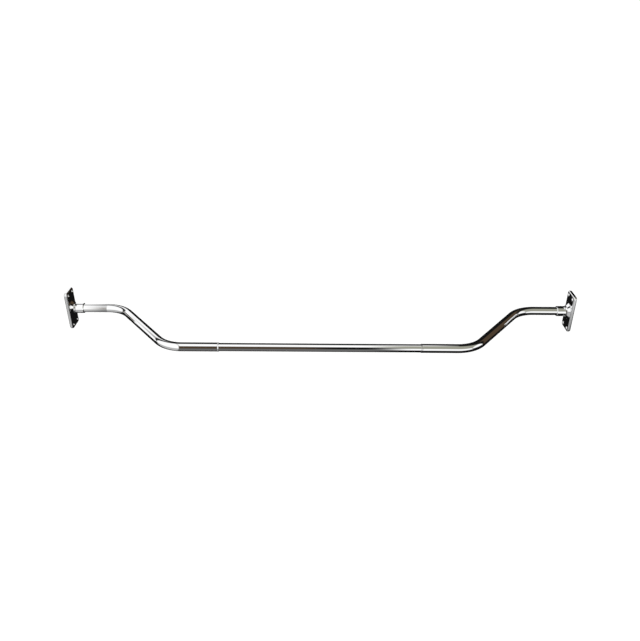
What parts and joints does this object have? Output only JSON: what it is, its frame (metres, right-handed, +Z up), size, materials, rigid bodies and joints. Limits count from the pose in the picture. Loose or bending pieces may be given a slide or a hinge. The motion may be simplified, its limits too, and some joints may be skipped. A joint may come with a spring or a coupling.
{
  "type": "pull up bar",
  "caption": "Wall-to-wall chrome bar that bows forward: two bent tubes telescope on a straight middle tube and end in swivelling screw-on plates.",
  "frame": {"origin": "centre of the left wall plate's wall face, on the axis that both wall sockets share", "axes": "+X along the bar from the left wall to the right wall, -Y the way the grip bar bows forward, +Z up"},
  "size_m": [1.55, 0.268, 0.12],
  "materials": {
    "chrome": "bright chrome plate on steel tube and castings",
    "bright_chrome": "bright chrome plate, polished",
    "zinc_steel": "bright zinc plate",
    "black_steel": "black oxide",
    "zinc_cast": "raw zinc casting",
    "rubber": "fine moulded texture, matte",
    "nylon": "natural nylon, satin"
  },
  "bodies": {
    "left_wall_end": {"left_wall_plate": "chrome", "left_backing_pad": "rubber", "left_seat_ring": "zinc_steel", "left_seat_screws": "zinc_steel"},
    "left_swivel": {"left_socket": "chrome", "left_set_screw": "black_steel"},
    "left_bent_arm": {"left_arm": "chrome", "left_trim_ring": "bright_chrome"},
    "left_sleeve": {"left_lock_sleeve": "nylon"},
    "left_cone": {"left_lock_cone": "zinc_cast"},
    "right_wall_end": {"right_wall_plate": "chrome", "right_backing_pad": "rubber", "right_seat_ring": "zinc_steel", "right_seat_screws": "zinc_steel"},
    "right_swivel": {"right_socket": "chrome", "right_set_screw": "black_steel"},
    "right_bent_arm": {"right_arm": "chrome", "right_trim_ring": "bright_chrome"},
    "right_sleeve": {"right_lock_sleeve": "nylon"},
    "right_cone": {"right_lock_cone": "zinc_cast"},
    "grip": {"centre_tube": "chrome", "left_lock_plug": "nylon", "left_lock_bolt": "zinc_steel", "right_lock_plug": "nylon", "right_lock_bolt": "zinc_steel"}
  },
  "joints": [
    {"name": "left_tilt", "type": "hinge", "parent": "left_wall_end", "child": "left_swivel", "pos_m": [0.0135, 0, 0], "axis": [0, 0, 1], "range_deg": [-8, 8]},
    {"name": "left_swing", "type": "hinge", "parent": "left_swivel", "child": "left_bent_arm", "pos_m": [0.03, 0, 0], "axis": [1, 0, 0], "continuous": true},
    {"name": "left_slide", "type": "slide", "parent": "left_bent_arm", "child": "left_sleeve", "axis": [1, 0, 0], "range_m": [-0.02, 0.03]},
    {"name": "lock_twist", "type": "hinge", "parent": "left_sleeve", "child": "grip", "pos_m": [0.437, -0.227, 0], "axis": [1, 0, 0], "range_deg": [0, 360]},
    {"name": "left_cone_travel", "type": "slide", "parent": "left_sleeve", "child": "left_cone", "axis": [-1, 0, 0], "range_m": [0, 0.0015]},
    {"name": "right_twist", "type": "hinge", "parent": "grip", "child": "right_sleeve", "pos_m": [1.113, -0.227, 0], "axis": [1, 0, 0], "range_deg": [-361, 1]},
    {"name": "right_cone_travel", "type": "slide", "parent": "right_sleeve", "child": "right_cone", "axis": [1, 0, 0], "range_m": [0, 0.0015]},
    {"name": "right_slide", "type": "slide", "parent": "right_sleeve", "child": "right_bent_arm", "axis": [1, 0, 0], "range_m": [-0.02, 0.03]},
    {"name": "right_swing", "type": "hinge", "parent": "right_bent_arm", "child": "right_swivel", "pos_m": [1.52, 0, 0], "axis": [1, 0, 0], "continuous": true},
    {"name": "right_tilt", "type": "hinge", "parent": "right_swivel", "child": "right_wall_end", "pos_m": [1.5365, 0, 0], "axis": [0, 0, 1], "range_deg": [-8, 8]}
  ],
  "couplings": [
    {"joint": "left_cone_travel", "follows": "lock_twist", "m_per_rad": 0.00019894},
    {"joint": "right_cone_travel", "follows": "lock_twist", "m_per_rad": 0.00019894},
    {"joint": "right_twist", "follows": "lock_twist", "ratio": -1},
    {"joint": "right_swing", "follows": "left_swing", "ratio": -1}
  ]
}
